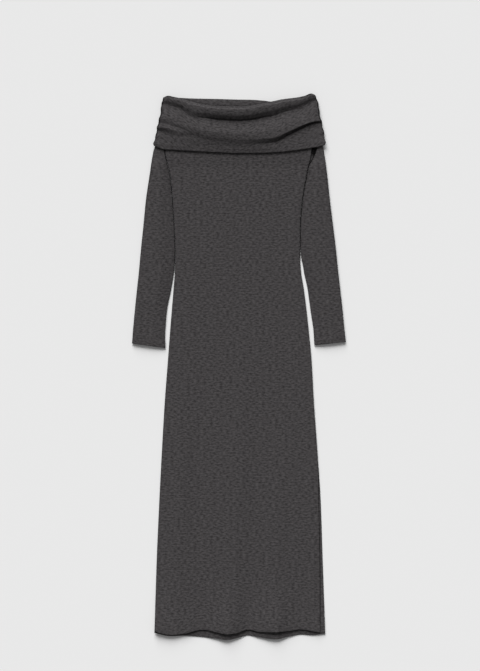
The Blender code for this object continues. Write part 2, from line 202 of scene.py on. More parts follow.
# Where the collar's folds run, from its left side (-1) to its right side (1), how full its
# upper roll is and how sharp its lower fold
FoldRow = namedtuple("FoldRow", "across top crease ridge tuck hem back_top roll sharp")
FOLDS = [
    FoldRow(-1.00, 660, 645, 609, 579, 541.5, 654, 0.50, 0.2),
    FoldRow(-0.95, 664, 644, 608, 575, 536.5, 660, 0.50, 0.3),
    FoldRow(-0.88, 661.5, 639.5, 605, 569.5, 532.5, 660, 0.50, 0.3),
    FoldRow(-0.76, 657, 632, 599, 565, 531, 659, 0.50, 0.2),
    FoldRow(-0.66, 652, 617.5, 591, 566, 529.5, 658, 0.50, 0.1),
    FoldRow(-0.57, 648, 610, 586, 566, 528.5, 657.5, 0.55, 0.0),
    FoldRow(-0.44, 642.5, 609, 580, 558, 527, 657, 0.75, 0.1),
    FoldRow(-0.30, 639.5, 605, 576, 553, 525.5, 656.5, 0.95, 0.1),
    FoldRow(0.00, 638.5, 602, 571.5, 546.5, 523.5, 655, 1.00, 0.1),
    FoldRow(0.16, 641, 604.5, 571.5, 545.5, 523.5, 654.5, 1.00, 0.3),
    FoldRow(0.32, 647, 610.5, 574, 546.5, 524, 652.5, 0.90, 0.6),
    FoldRow(0.44, 650, 615, 578, 549.5, 525.5, 650, 0.75, 0.9),
    FoldRow(0.57, 655, 624, 586, 563, 527.5, 650, 0.65, 1.0),
    FoldRow(0.76, 659.5, 633, 599, 583, 533, 656, 0.55, 1.0),
    FoldRow(0.87, 663.5, 644.5, 605.5, 593, 536.5, 660.5, 0.50, 1.0),
    FoldRow(0.96, 669.5, 652, 608, 597.5, 540, 665, 0.50, 0.6),
    FoldRow(1.00, 666, 651, 608, 598, 543, 658, 0.50, 0.3),
]

# The gathers in the collar's sides, on the left (-1) and on the right (1): the level that each
# lies at, how broad and how high it is, and how far it reaches in
Gather = namedtuple("Gather", "side level spread reach height")
GATHERS = [
    Gather(-1, 634, 8, 13, 1.2),
    Gather(-1, 608, 7, 26, 2.0),
    Gather(-1, 587, 6, 30, 2.0),
    Gather(-1, 566, 7, 16, 1.6),
    Gather(-1, 547, 6, 12, 1.8),
    Gather(1, 645, 6, 12, 1.0),
    Gather(1, 627, 8, 13, 1.4),
    Gather(1, 603, 8, 18, 1.8),
    Gather(1, 576, 7, 13, 1.8),
    Gather(1, 549, 7, 13, 2.0),
]

# A collar's section. Each row is a level between two folds, moved by a shift, with its height
# at the sides and in the middle, its share of the roll's fullness, of the lower fold's
# sharpness, of the side wall and of the gathers, its side edges, and the count of mesh rows up
# to the next
SectionRow = namedtuple(
    "SectionRow", "above below share shift side middle roll sharp wall gather left right rows"
)

# The front runs from its seam up, over the top fold and down to its lower edge
FRONT_SECTION = [
    SectionRow("seam", "seam", 0.0, 0, 3.8, 3.8, 0, 0, 0.0, 0.0, -199, 201, 2),
    SectionRow("seam", "top", 0.45, 0, 4.2, 4.2, 0, 0, 0.0, 0.0, -194, 196, 1),
    SectionRow("top", "top", 0.0, -22, 4.9, 6.0, 0, 0, 0.0, 0.0, -186, 187, 1),
    SectionRow("top", "top", 0.0, -5, 5.5, 9.0, 1, 0, 0.0, 0.0, -183, 184, 1),
    SectionRow("top", "top", 0.0, 0, 8.4, 13.6, 1, 0, 0.0, 0.0, -183, 184, 1),
    SectionRow("top", "crease", 0.07, 0, 11.4, 18.8, 1, 0, 0.3, 0.2, -186, 187, 2),
    SectionRow("top", "crease", 0.28, 0, 12.4, 22.0, 1, 0, 0.8, 0.3, -187, 189, 2),
    SectionRow("top", "crease", 0.58, 0, 11.8, 20.6, 1, 0, 1.0, 0.5, -188, 190, 2),
    SectionRow("top", "crease", 0.88, 0, 10.2, 15.6, 1, 0, 1.0, 0.9, -190, 192, 2),
    SectionRow("crease", "crease", 0.0, -1, 9.1, 12.0, 0, 0, 1.0, 1.0, -190, 193, 1),
    SectionRow("crease", "crease", 0.0, -5, 9.0, 12.0, 0, 0, 1.0, 1.0, -190, 194, 1),
    SectionRow("crease", "crease", 0.0, -12, 9.2, 13.4, 0, 0, 1.0, 1.0, -191, 195, 3),
    SectionRow("ridge", "ridge", 0.0, 0, 10.0, 18.0, 0, 0, 1.0, 1.0, -194, 199, 3),
    SectionRow("ridge", "tuck", 0.5, 0, 9.9, 16.6, 0, 0.4, 1.0, 1.0, -198, 201, 2),
    SectionRow("ridge", "tuck", 0.8, 0, 9.7, 15.0, 0, -0.3, 1.0, 1.0, -200, 202, 1),
    SectionRow("tuck", "tuck", 0.0, 0, 9.3, 13.9, 0, -1, 1.0, 1.0, -201, 203, 2),
    SectionRow("tuck", "hem", 0.5, 0, 9.3, 11.7, 0, -0.4, 0.7, 1.0, -205, 208, 3),
    SectionRow("hem", "hem", 0.0, 3, 9.2, 9.8, 0, 0, 0.0, 0.6, -209, 211, 1),
    SectionRow("hem", "hem", 0.0, 0, 8.8, 9.2, 0, 0, 0.0, 0.0, -208, 209, 1),
]

# The back runs from its lower edge up the floor, over its top and down inside
BACK_SECTION = [
    SectionRow("hem", "hem", 0.0, 2, 0.0, 0.0, 0, 0, 0.0, 0.0, -209, 210, 2),
    SectionRow("hem", "back_top", 0.5, 0, 0.0, 0.0, 0, 0, 0.0, 1.0, -197, 199, 2),
    SectionRow("back_top", "back_top", 0.0, -7, 0.0, 0.0, 0, 0, 0.0, 0.0, -187, 188, 1),
    SectionRow("back_top", "back_top", 0.0, -1.5, 0.8, 0.8, 0, 0, 0.0, 0.0, -184, 185, 1),
    SectionRow("back_top", "back_top", 0.0, 0, 2.4, 2.4, 0, 0, 0.0, 0.0, -184, 185, 1),
    SectionRow("back_top", "back_top", 0.0, -1.5, 4.0, 4.0, 0, 0, 0.0, 0.0, -184, 185, 1),
    SectionRow("back_top", "back_top", 0.0, -8, 4.6, 4.6, 0, 0, 0.0, 0.0, -184, 185, 1),
    SectionRow("back_top", "back_top", 0.0, -30, 4.1, 4.1, 0, 0, 0.0, 0.0, -188, 190, 2),
    SectionRow("seam", "seam", 0.0, 0, 3.5, 3.5, 0, 0, 0.0, 0.0, -199, 201, 1),
]

# Soft ridges (height above 0) and troughs (below 0), each from one point to another, bowed
# aside by bow in its middle, and the rows of the collar's section where its own set in
Crease = namedtuple("Crease", "x0 y0 x1 y1 bow width height")
FRONT_CREASES = [
    Crease(-132, 60, -170, -760, 6, 22, 1.5),
    Crease(-96, 250, -92, -700, -8, 20, -0.7),
    Crease(10, 120, -34, -760, 8, 22, 1.7),
    Crease(40, -40, 34, -720, 4, 18, -0.8),
    Crease(104, -150, 92, -760, -5, 20, 1.5),
    Crease(158, -100, 150, -700, 3, 16, -0.7),
    Crease(-60, 470, -30, 300, 6, 16, 0.5),
    Crease(70, 500, 96, 350, -5, 14, 0.5),
    Crease(-150, 300, -100, 240, 4, 9, 0.4),
    Crease(143, 290, 90, 225, -4, 9, 0.4),
]
SLEEVE_CREASES = [
    Crease(-205, 500, -196, 60, 5, 12, 0.5),
    Crease(-238, 330, -180, 300, 4, 7, 0.4),
    Crease(-185, 250, -235, 215, -4, 8, -0.4),
    Crease(-250, 170, -200, 150, 3, 7, 0.4),
    Crease(200, 480, 214, 70, -5, 12, 0.5),
    Crease(165, 345, 222, 322, 4, 7, 0.4),
    Crease(232, 240, 176, 222, -3, 8, -0.4),
    Crease(190, 160, 246, 140, 3, 7, 0.4),
]
COLLAR_CREASES = [
    Crease(-200, 597, -124, 575, 3, 5.0, -1.7),
    Crease(-204, 585, -150, 574, 3, 5.0, 0.9),
    Crease(-192, 628, -120, 608, -3, 7.0, 1.2),
    Crease(-150, 539, 60, 535, 3, 8.0, -0.6),
]
CREASED_ROWS = (9.0, 11.0)

# The picture: its height in pixels and what a pixel spans, where the camera stands and how high,
# its sensor's height, and how far it sees in metres
IMAGE_HEIGHT = 671
PIXEL = 2.45
VIEW_X = 2.45
VIEW_Y = 77.2
CAMERA_HEIGHT = 8000.0
SENSOR = 24.0
CLIP_END = 100.0

# The melange: its dark and its light fibres, and the painted shade on the steep sides of its folds
# and edges: how dark it is and how soon it sets in
FIBRE_DARK = (0.0240, 0.0222, 0.0228, 1.0)
FIBRE_LIGHT = (0.0935, 0.0880, 0.0900, 1.0)
STEEP_PAINTED_SHADE = (0.0060, 0.0055, 0.0056, 1.0)
STEEP_POWER = 3.6

# Its patches and its single flecks: how wide and high they are, and how much each shows
Grain = namedtuple("Grain", "width height strength")
PATCH = Grain(8.0, 3.6, 1.5)
FLECK = Grain(1.9, 0.8, 0.7)
NOISE_DETAIL = 3.0
MIDDLE_TONE = 0.5

# The knit's relief: how far apart its ribs and its courses lie, how deep they are, and how much
# painted shade makes the grooves between the ribs darker than the ribs
RIB = 2.8
COURSE = 1.7
COURSE_SHARE = 0.15
RIB_GROOVE_PAINTED_SHADE = 0.09
FLECK_SHARE = 0.8
RELIEF = 0.0004
RELIEF_STRENGTH = 0.55

# Stitches: how far apart they lie, and the length, width and height of each
Stitch = namedtuple("Stitch", "pitch length width height")
COVER = Stitch(3.4, 2.5, 0.7, 0.3)
# Linking and overlock stitches carry the near-black thread of the painted shadow
LINKING_PAINTED_SHADOW = Stitch(2.2, 3.2, 1.5, 0.5)
OVERLOCK_PAINTED_SHADOW = Stitch(1.0, 0.0, 1.3, 0.3)
RIM = Stitch(2.8, 3.0, 1.6, 0.3)

# Rows of cover stitch: how far they lie above the hem, from the slit's edge, above a cuff and
# above the collar's lower edge, and how many mesh columns from its sides a row at the hem ends
HEM_STITCHES = (19.0, 22.5)
SLIT_STITCHES = 13.0
CUFF_STITCHES = (7.0, 10.0)
LOWER_EDGE_STITCHES = 9.0
HEM_ROW_END = EDGE_STEPS + 2

# Where the slit's stitches start and end, how near to its edge its linking lies, a near-black row of
# painted shadow under the front's free edge, and how far that sinks in
SLIT_TOP = -245.0
SLIT_LOW = -628.0
SLIT_EDGE = 0.2
SLIT_SINK = 0.2

# The linking of the armholes, near black as painted shadow along the seams: where it ends at each
# side and where it starts, how far outside the body's edge and how high on the seam it lies, and how
# close the points of its line are
ARMHOLE_LOW = {"left": 231.0, "right": 264.0}
ARMHOLE_HIGH = 540.0
ARMHOLE_ASIDE = LINKING_PAINTED_SHADOW.width / 4.0
SEAM_THREAD_RISE = 0.3
ARMHOLE_STEP = 2.0

# A near-black sheet of overlock-shaped stitches in the right armhole, painted shadow where the
# armhole lies in shade: where it ends, how high it lies and how far it tucks in at both sides
WEDGE_LOW = 522.0
WEDGE_HEIGHT = 4.6
WEDGE_TUCK = 2.0

# The rib ends on the roll, lighter than the knit as a painted highlight: the rows of its section
# that they lie on, and how far across they run
RIM_STOPS = (4.7, 5.2, 5.7)
RIM_PAINTED_HIGHLIGHT_SPAN = (-0.86, 0.80)

# Thread: its colour, the near black of the painted shadow in the armholes and beside the slit, the
# light colour of the painted highlight on the roll's rib ends, and how fine and how deep its uneven
# tone is
THREAD = (0.046, 0.043, 0.044, 1.0)
SEAM_PAINTED_SHADOW = (0.010, 0.0092, 0.0095, 1.0)
RIB_END_PAINTED_HIGHLIGHT = (0.175, 0.166, 0.170, 1.0)
THREAD_NOISE = 700.0
THREAD_SHADE = 0.6

# Straight up, and to the viewer's right
UPRIGHT = (0.0, 0.0, 1.0)
SIDEWAYS = (1.0, 0.0, 0.0)

# Light: an even sky, and a soft low lamp beyond the neck, a little to the left
SKY_COLOUR = (1.0, 1.0, 1.0, 1.0)
SKY_STRENGTH = 0.25
LAMP_STRENGTH = 5.28
LAMP_FROM = (-0.2, 1.0, 0.52)
LAMP_SOFTNESS = 40.0

# The floor, its size in metres
FLOOR_COLOUR = (0.80, 0.80, 0.80, 1.0)
FLOOR_SIZE = 16.0

# The cut of each piece: its sizes and area in metres, and what it lies on
Cut = namedtuple("Cut", "node width length area rests_on")


def fade(value, start, end):
    """Runs smoothly from 0 at start to 1 at end."""
    share = np.clip((value - start) / (end - start), 0.0, 1.0)
    return share * share * (3.0 - 2.0 * share)


def steady_slopes(places, values):
    """Slopes for a curve that never swings past the values it passes through."""
    steps = np.diff(values) / np.diff(places)
    product = steps[:-1] * steps[1:]
    total = np.where(product > 0.0, steps[:-1] + steps[1:], 1.0)
    inner = np.where(product > 0.0, 2.0 * product / total, 0.0)
    return np.concatenate([steps[:1], inner, steps[-1:]])


def curve(places, values, at):
    """A smooth curve through the values at their places, read at one or many places."""
    places = np.asarray(places, float)
    values = np.asarray(values, float)
    if places[0] > places[-1]:
        places = places[::-1]
        values = values[::-1]
    slopes = steady_slopes(places, values)
    at = np.clip(at, places[0], places[-1])
    low = np.clip(np.searchsorted(places, at) - 1, 0, len(places) - 2)
    step = places[low + 1] - places[low]
    t = (at - places[low]) / step
    start = values[low] + t * t * (3 - 2 * t) * (values[low + 1] - values[low])
    bend = t * (1 - t) ** 2 * slopes[low] - t * t * (1 - t) * slopes[low + 1]
    return start + step * bend


def column(rows, name, at):
    """One column of a table, read along the table's first column."""
    places = [row[0] for row in rows]
    return curve(places, [getattr(row, name) for row in rows], at)


def graded(length, count, rounding):
    """Distances along each length, close together in the rounding of both ends, even between."""
    turns = np.linspace(0.0, np.pi / 2.0, EDGE_STEPS + 1)[:-1]
    bend = rounding * (1.0 - np.cos(turns))
    inner = rounding + (length - 2.0 * rounding) * np.linspace(0.0, 1.0, count)
    start = np.broadcast_to(bend, (len(length), EDGE_STEPS))
    return np.concatenate([start, inner, (length - start)[:, ::-1]], axis=1)


def edge_share(distance, rounding):
    """The share of its thickness that cloth has at a distance from a rounded edge."""
    near = 1.0 - np.clip(distance / rounding, 0.0, 1.0)
    return np.sqrt(1.0 - near * near)


def surface_normals(points):
    """Unit normals of a grid of points, on the side where along x across points out."""
    along = np.gradient(points, axis=0)
    across = np.gradient(points, axis=1)
    normals = np.cross(along, across)
    return normals / np.linalg.norm(normals, axis=2, keepdims=True)


def lengths_down(points):
    """How far each point of a grid lies from the first of its column, along the column."""
    steps = np.linalg.norm(np.diff(points, axis=0), axis=2)
    return np.concatenate([np.zeros((1, points.shape[1])), np.cumsum(steps, axis=0)])


def creased(x, y, creases):
    """Height of the soft ridges and troughs at each place."""
    total = np.zeros_like(x)
    for crease in creases:
        run = np.array([crease.x1 - crease.x0, crease.y1 - crease.y0], float)
        length = np.hypot(*run)
        run /= length
        along = np.clip(((x - crease.x0) * run[0] + (y - crease.y0) * run[1]) / length, 0.0, 1.0)
        swell = 4.0 * along * (1.0 - along)
        aside = (y - crease.y0) * run[0] - (x - crease.x0) * run[1] - crease.bow * swell
        total += crease.height * swell * np.exp(-((aside / crease.width) ** 2))
    return total


def collar_step(y):
    """One layer up where the back collar lies underneath."""
    return LAYER * fade(y, STEP_LOW, STEP_HIGH)


def hem_lift(x, y):
    """How far the hem's waves lift a panel off the surface."""
    near_hem = fade(y, HEM + HEM_LIFT_FADE, HEM)
    return column(HEMS, "lift", x) * near_hem * near_hem


def body_grid(set_back):
    """Places of a body panel's points, and their distances from its side edges."""
    down = graded(np.array([[TOP_SEAM - HEM]]), BODY_ROWS, EDGE_ROUND)[0]
    y = TOP_SEAM - down
    left = column(SIDES, "left", y)
    right = column(SIDES, "right", y) - set_back * column(SIDES, "set_back", y)
    width = (right - left)[:, None]
    aside = graded(width, BODY_COLUMNS, SEAM_ROUND)
    y = np.broadcast_to(y[:, None], aside.shape)
    return left[:, None] + aside, y, aside, width - aside


def side_opening(y):
    """How far front and back have parted at the right: 0 where sewn, 1 in the slit."""
    return fade(column(SIDES, "set_back", y), 0.0, PARTED)


def side_roll(y, from_left, from_right):
    """How far a panel has turned towards the side seams: 0 between them, 1 on them."""
    left = 1.0 - edge_share(from_left, SEAM_ROLL)
    right = (1.0 - side_opening(y)) * (1.0 - edge_share(from_right, SEAM_ROLL))
    return np.maximum(left, right)


def body_thickness(y, from_left, from_right):
    """Share of the wall's thickness: wide roundings at the seams, narrow ones elsewhere."""
    right_round = SEAM_ROUND + (EDGE_ROUND - SEAM_ROUND) * side_opening(y)
    share = edge_share(from_left, SEAM_ROUND) * edge_share(from_right, right_round)
    return share * edge_share(TOP_SEAM - y, EDGE_ROUND) * edge_share(y - HEM, EDGE_ROUND)


def body_front_faces():
    """Both faces of the front, which lies on the back and lifts with it at the hem."""
    x, y, from_left, from_right = body_grid(1.0)
    across = from_left / (from_left + from_right)
    reach = fade(y, HEM + HEM_FADE, HEM) * column(HEMS, "front", x)
    crown = FRONT_CROWN * (1.0 - (2.0 * across - 1.0) ** CROWN_FULLNESS)
    crown *= fade(y, STEP_HIGH, STEP_LOW)
    height = LAYER + WALL + crown + creased(x, y, FRONT_CREASES)
    height = np.maximum(height, LAYER + WALL)
    height += collar_step(y) + (HEM_LIFT + FRONT_OPEN) * hem_lift(x, y)
    roll = side_roll(y, from_left, from_right)
    seam = SEAM_HEIGHT + SEAM_PART + WALL / 2.0 + collar_step(y) + HEM_LIFT * hem_lift(x, y)
    z = height + (seam - height) * roll + HEM_GAP * fade(y, HEM + HEM_GAP_FADE, HEM)
    outer = np.stack([x, y + reach, z], axis=2)
    inner = outer - WALL * surface_normals(outer)
    return outer, inner, body_thickness(y, from_left, from_right), np.stack([x, y], axis=2)


def body_back_faces():
    """Both faces of the back: flat, but for the hem's waves and the step under the collar."""
    x, y, from_left, from_right = body_grid(0.0)
    reach = fade(y, HEM + HEM_FADE, HEM) * column(HEMS, "back", x)
    roll = side_roll(y, from_left, from_right)
    seam = SEAM_HEIGHT - SEAM_PART - WALL / 2.0
    strip = column(SIDES, "set_back", y)
    dip = fade(strip - from_right, -DIP_WIDTH, 0.0) * fade(y, DIP_HIGH, DIP_LOW)
    step = collar_step(y) * (1.0 - dip * fade(strip, 0.0, PARTED))
    z = step + HEM_LIFT * hem_lift(x, y) + seam * roll
    inner = np.stack([x, y + reach, z], axis=2)
    outer = inner + WALL * surface_normals(inner)
    return outer, inner, body_thickness(y, from_left, from_right), np.stack([x, y], axis=2)


def sleeve_height(y, inward):
    """Height of a sleeve, flat at the armhole and beside the body, and lower at the cuff."""
    height = SLEEVE_HEIGHT + (CUFF_HEIGHT - SLEEVE_HEIGHT) * fade(y, CUFF + CUFF_LIFT_FADE, CUFF)
    full = fade(y, STEP_HIGH, STEP_LOW) * (1.0 - np.maximum(inward, 0.0) ** SLEEVE_FULLNESS)
    return SLEEVE_FLAT + (height - SLEEVE_FLAT) * full


def sleeve_turn():
    """One round of a sleeve's flat tube, over from right to left and back under: how far
    aside it swings and how far up."""
    along, under, over = SECTION_SQUARE
    swing = np.sin(np.linspace(np.pi / 2.0, -np.pi / 2.0, SLEEVE_COLUMNS + 1))
    swing = np.concatenate([swing[:-1], swing[::-1][:-1]])
    top = np.arange(2 * SLEEVE_COLUMNS) <= SLEEVE_COLUMNS
    bow = np.sqrt(1.0 - np.abs(swing) ** (2.0 / along))
    return swing, np.where(top, bow**over, -(bow**under))


def sleeve_distances():
    """How far each row of a sleeve lies below its top seam."""
    return graded(np.array([[TOP_SEAM - CUFF]]), SLEEVE_ROWS, EDGE_ROUND)[0]


def sleeve_face(rows, side, cuff, inset):
    """One face of a sleeve, with its soft creases on top."""
    outward = OUTWARD[side]
    y = (TOP_SEAM - sleeve_distances())[:, None]
    outer = column(rows, "outer", y)
    inner = column(SIDES, side, y) + outward * (column(rows, "gap", y) - SLEEVE_TOUCH)
    swing, upward = sleeve_turn()
    height = sleeve_height(y, -outward * swing)
    x = (outer + inner) / 2.0 + (np.abs(outer - inner) / 2.0 - inset) * swing
    up = height / 2.0 + (height / 2.0 - inset) * upward
    lift = CUFF_LIFT * fade(y, CUFF + CUFF_LIFT_FADE, CUFF)
    over = fade(upward, 0.0, 1.0)
    z = collar_step(y) + lift + up + over * creased(x, y, SLEEVE_CREASES)
    reach = cuff.reach + cuff.tilt * outward * swing / 2.0
    return np.stack([x, y + reach * fade(y, CUFF + CUFF_FADE, CUFF), z], axis=2)


def sleeve_faces(rows, side, cuff):
    """Both faces of a sleeve: a flat tube, open at the armhole and at the cuff."""
    outer = sleeve_face(rows, side, cuff, 0.0)
    inner = sleeve_face(rows, side, cuff, WALL)
    share = edge_share(end_distance(outer), EDGE_ROUND)
    girth = np.linalg.norm(np.diff(outer, axis=1, append=outer[:, :1]), axis=2)
    around = np.concatenate([np.zeros((len(girth), 1)), np.cumsum(girth, axis=1)], axis=1)
    down = np.broadcast_to(outer[:, :1, 1], around.shape)
    return outer, inner, share, np.stack([around, down], axis=2)


def end_distance(points):
    """Distance of each row of a sleeve from the nearer of its two ends."""
    down = sleeve_distances()
    nearer = np.minimum(down, (TOP_SEAM - CUFF) - down)
    return np.broadcast_to(nearer[:, None], points.shape[:2])


def collar_places():
    """Places across a collar, from -1 at its left side to 1, close together at both sides."""
    return -np.cos(np.linspace(0.0, np.pi, COLLAR_COLUMNS))


def collar_path(section, across):
    """Levels and heights of a collar's section at one place across, and its lengths."""
    place = {name: column(FOLDS, name, across) for name in FoldRow._fields[1:]}
    place["seam"] = TOP_SEAM + SEAM
    middle = 1.0 - abs(across) ** COLLAR_FULLNESS
    levels = []
    heights = []
    for row in section:
        level = place[row.above] + (place[row.below] - place[row.above]) * row.share
        full = middle * (1.0 - row.roll * (1.0 - place["roll"]))
        height = row.side + (row.middle - row.side) * full
        levels.append(level + row.shift)
        heights.append(height + row.sharp * SHARP_DEPTH * place["sharp"])
    lengths = np.hypot(np.diff(levels), np.diff(heights))
    return levels, heights, np.concatenate([[0.0], np.cumsum(lengths)])


def section_stops(section):
    """Where along a section its mesh rows lie, counted in the section's own rows."""
    stops = []
    for index, row in enumerate(section[:-1]):
        count = row.rows * COLLAR_FINENESS
        stops.append(index + np.arange(count) / count)
    return np.append(np.concatenate(stops), len(section) - 1.0)


def along_section(section, name):
    """One column of a section's table at each of its mesh rows."""
    values = [getattr(row, name) for row in section]
    return curve(np.arange(len(section)), values, section_stops(section))[:, None]


def gathered(levels, inward, side):
    """How far the gathers stand out at these levels, this far in from this side."""
    total = np.zeros(levels.shape)
    for fold in GATHERS:
        near = np.exp(-(((levels - fold.level) / fold.spread) ** 2 + (inward / fold.reach) ** 2))
        total += fold.height * near * (side == fold.side)
    return total


def collar_points(section):
    """The outer face of a collar's fold, its sides scalloped by the gathers."""
    places = collar_places()
    stops = section_stops(section)
    order = np.arange(len(section))
    left = along_section(section, "left")
    right = along_section(section, "right")
    points = np.zeros((len(stops), COLLAR_COLUMNS, 3))
    points[:, :, 0] = left + (right - left) * (1.0 + places) / 2.0
    for index, across in enumerate(places):
        levels, heights, lengths = collar_path(section, across)
        at = np.interp(stops, order, lengths)
        points[:, index, 1] = curve(lengths, levels, at)
        points[:, index, 2] = curve(lengths, heights, at)
    inward = (1.0 - np.abs(places)) * COLLAR_HALF_WIDTH
    gather = gathered(points[:, :, 1], inward, np.sign(places)) * along_section(section, "gather")
    points[:, :, 0] += GATHER_SCALLOP * gather * np.sign(places)
    return points, gather, inward


def collar_thickness(points, inward):
    """Share of the wall's thickness near the collar's rounded edges."""
    down = lengths_down(points)
    share = edge_share(down, EDGE_ROUND) * edge_share(down[-1] - down, EDGE_ROUND)
    return share * edge_share(inward, EDGE_ROUND), down


def collar_front_faces():
    """The front collar with its roll and folds, gathered and turned down at both sides."""
    points, gather, inward = collar_points(FRONT_SECTION)
    fall = fade(section_stops(FRONT_SECTION), *CREASED_ROWS)[:, None]
    points[:, :, 2] += gather
    points[:, :, 2] += fall * creased(points[:, :, 0], points[:, :, 1], COLLAR_CREASES)
    nearness = np.clip(1.0 - inward / SIDE_RADIUS, 0.0, 1.0)
    drop = (1.0 - np.sqrt(1.0 - nearness**2)) * along_section(FRONT_SECTION, "wall")
    points[:, :, 2] -= drop * (points[:, :, 2] - SIDE_BOTTOM)
    share, down = collar_thickness(points, np.broadcast_to(inward, points.shape[:2]))
    inner = points - WALL * surface_normals(points)
    return points, inner, share, np.stack([points[:, :, 0], -down], axis=2)


def collar_back_faces():
    """The back collar, pressed flat, whose inside shows above the front's roll."""
    points, _, inward = collar_points(BACK_SECTION)
    share, down = collar_thickness(points, np.broadcast_to(inward, points.shape[:2]))
    inner = points - WALL * surface_normals(points)
    return points, inner, share, np.stack([points[:, :, 0], down], axis=2)


def grid_faces(rows, columns, closed):
    """Corner numbers of a grid's squares: its points, and its places on the cloth."""
    across = columns if closed else columns - 1
    i, j = (number.ravel() for number in np.indices((rows - 1, across)))
    after = (j + 1) % columns
    row = i * columns
    below = row + columns
    points = np.stack([row + j, below + j, below + after, row + after])
    wide = across + 1
    row = i * wide
    below = row + wide
    places = np.stack([row + j, below + j, below + j + 1, row + j + 1])
    return points.T, places.T


def border_points(rows, columns, closed):
    """Which points of a grid lie on its border, where both faces share them."""
    border = np.zeros((rows, columns), bool)
    border[[0, -1]] = True
    if not closed:
        border[:, [0, -1]] = True
    return border.ravel()


def add_object(name, data):
    """A new object in the scene."""
    thing = bpy.data.objects.new(name, data)
    bpy.context.scene.collection.objects.link(thing)
    return thing


def smooth_mesh(name, points, faces, material):
    """A smooth mesh of one material, from points in millimetres."""
    mesh = bpy.data.meshes.new(name)
    mesh.from_pydata((points * MILLIMETRE).tolist(), [], faces)
    mesh.shade_smooth()
    mesh.materials.append(material)
    return mesh


def add_shell(name, faces, closed, material):
    """Closed cloth from its two faces, which meet where its thickness ends."""
    outer, inner, share, cloth = faces
    middle = (outer + inner) / 2.0
    outer = (middle + (outer - middle) * share[:, :, None]).reshape(-1, 3)
    inner = (middle + (inner - middle) * share[:, :, None]).reshape(-1, 3)
    rows, columns = share.shape
    border = border_points(rows, columns, closed)
    under = np.where(border, np.arange(rows * columns), 0)
    under[~border] = rows * columns + np.arange(np.count_nonzero(~border))
    squares, places = grid_faces(rows, columns, closed)
    corners = np.concatenate([squares, under[squares][:, ::-1]])
    mesh = smooth_mesh(name, np.concatenate([outer, inner[~border]]), corners.tolist(), material)
    layer = mesh.uv_layers.new(name="cloth")
    spots = np.concatenate([places, places[:, ::-1]]).ravel()
    layer.uv.foreach_set("vector", cloth.reshape(-1, 2)[spots].astype(np.float32).ravel())
    return add_object(name, mesh)


def new_material(name):
    """A matt material, with its tree and its shader."""
    material = bpy.data.materials.new(name)
    material.use_nodes = True
    tree = material.node_tree
    shader = tree.nodes["Principled BSDF"]
    shader.inputs["Roughness"].default_value = 1.0
    shader.inputs["Specular IOR Level"].default_value = 0.0
    return material, tree, shader


def math_node(tree, operation, first, second=0.0):
    """Works with one or two values, each a number or another node's output."""
    node = tree.nodes.new("ShaderNodeMath")
    node.operation = operation
    for socket, value in zip(node.inputs, (first, second)):
        if isinstance(value, bpy.types.NodeSocket):
            tree.links.new(value, socket)
        else:
            socket.default_value = value
    return node.outputs["Value"]


def mix_node(tree, factor, first, second):
    """Mixes two colours, each a colour or another node's output."""
    node = tree.nodes.new("ShaderNodeMix")
    node.data_type = "RGBA"
    tree.links.new(factor, node.inputs["Factor"])
    for socket, value in ((node.inputs["A"], first), (node.inputs["B"], second)):
        if isinstance(value, bpy.types.NodeSocket):
            tree.links.new(value, socket)
        else:
            socket.default_value = value
    return node.outputs["Result"]


def noise_node(tree, across, along, grain):
    """Soft noise on the cloth, its patches as wide and high as the grain's."""
    place = tree.nodes.new("ShaderNodeCombineXYZ")
    tree.links.new(math_node(tree, "DIVIDE", across, grain.width), place.inputs["X"])
    tree.links.new(math_node(tree, "DIVIDE", along, grain.height), place.inputs["Y"])
    noise = tree.nodes.new("ShaderNodeTexNoise")
    noise.noise_dimensions = "2D"
    noise.inputs["Scale"].default_value = 1.0
    noise.inputs["Detail"].default_value = NOISE_DETAIL
    tree.links.new(place.outputs["Vector"], noise.inputs["Vector"])
    return noise.outputs["Fac"]


def wave_node(tree, along, length):
    """An even wave of this length in millimetres."""
    turn = math_node(tree, "MULTIPLY", along, 2.0 * math.pi / length)
    return math_node(tree, "SINE", turn)


def melange_tone(tree, across, along, ribs):
    """How light the melange is at each place, with painted shade in the grooves between its ribs,
    and the noise of its single flecks.
    """
    tone = MIDDLE_TONE
    for grain in (PATCH, FLECK):
        noise = noise_node(tree, across, along, grain)
        swing = math_node(tree, "SUBTRACT", noise, MIDDLE_TONE)
        tone = math_node(tree, "ADD", tone, math_node(tree, "MULTIPLY", swing, grain.strength))
    # Painted shade: darker in the grooves between the ribs
    tone = math_node(tree, "ADD", tone, math_node(tree, "MULTIPLY", ribs, RIB_GROOVE_PAINTED_SHADE))
    return math_node(tree, "MINIMUM", math_node(tree, "MAXIMUM", tone, 0.0), 1.0), noise


def painted_shade_levelness(tree):
    """How much of the painted shade is left out: 1 where the cloth lies level, falling to 0 on its
    steep sides.
    """
    surface = tree.nodes.new("ShaderNodeNewGeometry")
    tilt = tree.nodes.new("ShaderNodeSeparateXYZ")
    tree.links.new(surface.outputs["Normal"], tilt.inputs["Vector"])
    return math_node(tree, "POWER", math_node(tree, "ABSOLUTE", tilt.outputs["Z"]), STEEP_POWER)


def knit_relief(tree, along, ribs, flecks):
    """The ribs, the courses and the flecks as a bump."""
    relief = math_node(tree, "MULTIPLY", wave_node(tree, along, COURSE), COURSE_SHARE)
    relief = math_node(tree, "ADD", relief, ribs)
    relief = math_node(tree, "ADD", relief, math_node(tree, "MULTIPLY", flecks, FLECK_SHARE))
    bump = tree.nodes.new("ShaderNodeBump")
    bump.inputs["Strength"].default_value = RELIEF_STRENGTH
    bump.inputs["Distance"].default_value = RELIEF
    tree.links.new(relief, bump.inputs["Height"])
    return bump.outputs["Normal"]


